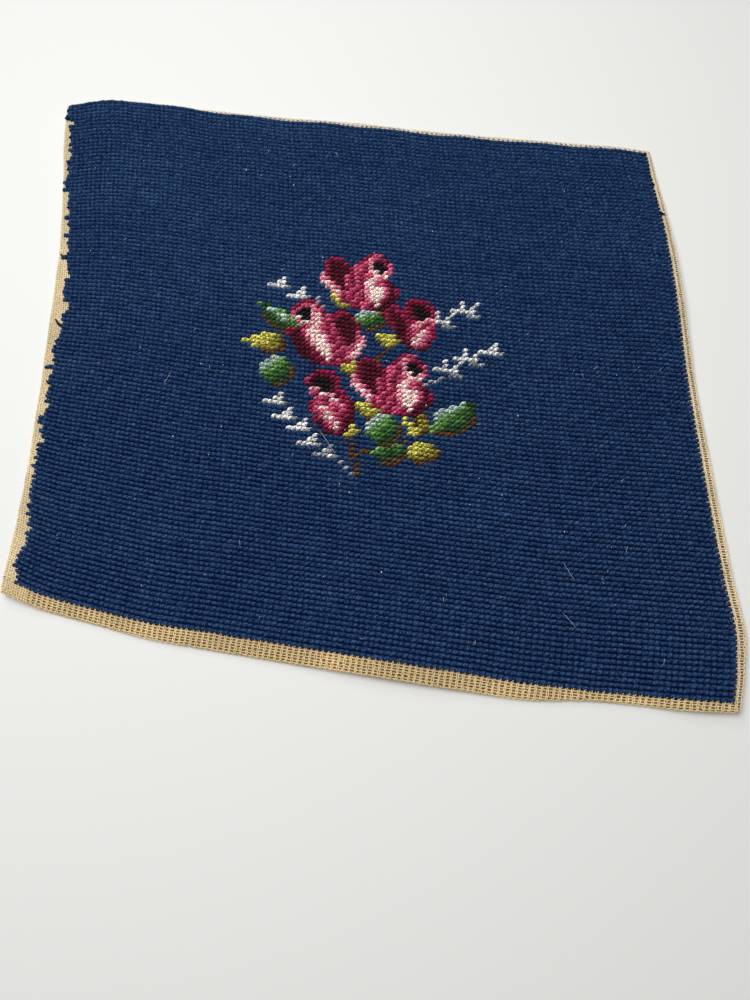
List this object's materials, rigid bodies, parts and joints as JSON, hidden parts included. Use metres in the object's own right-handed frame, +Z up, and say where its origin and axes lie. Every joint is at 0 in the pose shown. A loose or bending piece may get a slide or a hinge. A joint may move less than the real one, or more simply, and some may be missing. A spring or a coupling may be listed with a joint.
{
  "type": "needlepoint canvas panel",
  "caption": "Flat leaning panel of open-mesh canvas with turned-under edges, covered in slanted wool stitches on a dark ground, to be made up as a cushion front, seat cover or framed picture.",
  "frame": {"origin": "under the middle of the panel's box, on the surface it lies on", "axes": "+X along the stitch rows, +Y up the canvas away from the viewer, +Z up from the surface"},
  "size_m": [0.3991, 0.3108, 0.0068],
  "materials": {
    "canvas_cotton": "stiff tan double-thread cotton canvas, matt",
    "tapestry_wool": "navy wool tent stitches, matt with a soft nap"
  },
  "bodies": {
    "root": {"canvas": "canvas_cotton", "stitched_wool": "tapestry_wool"}
  },
  "joints": []
}
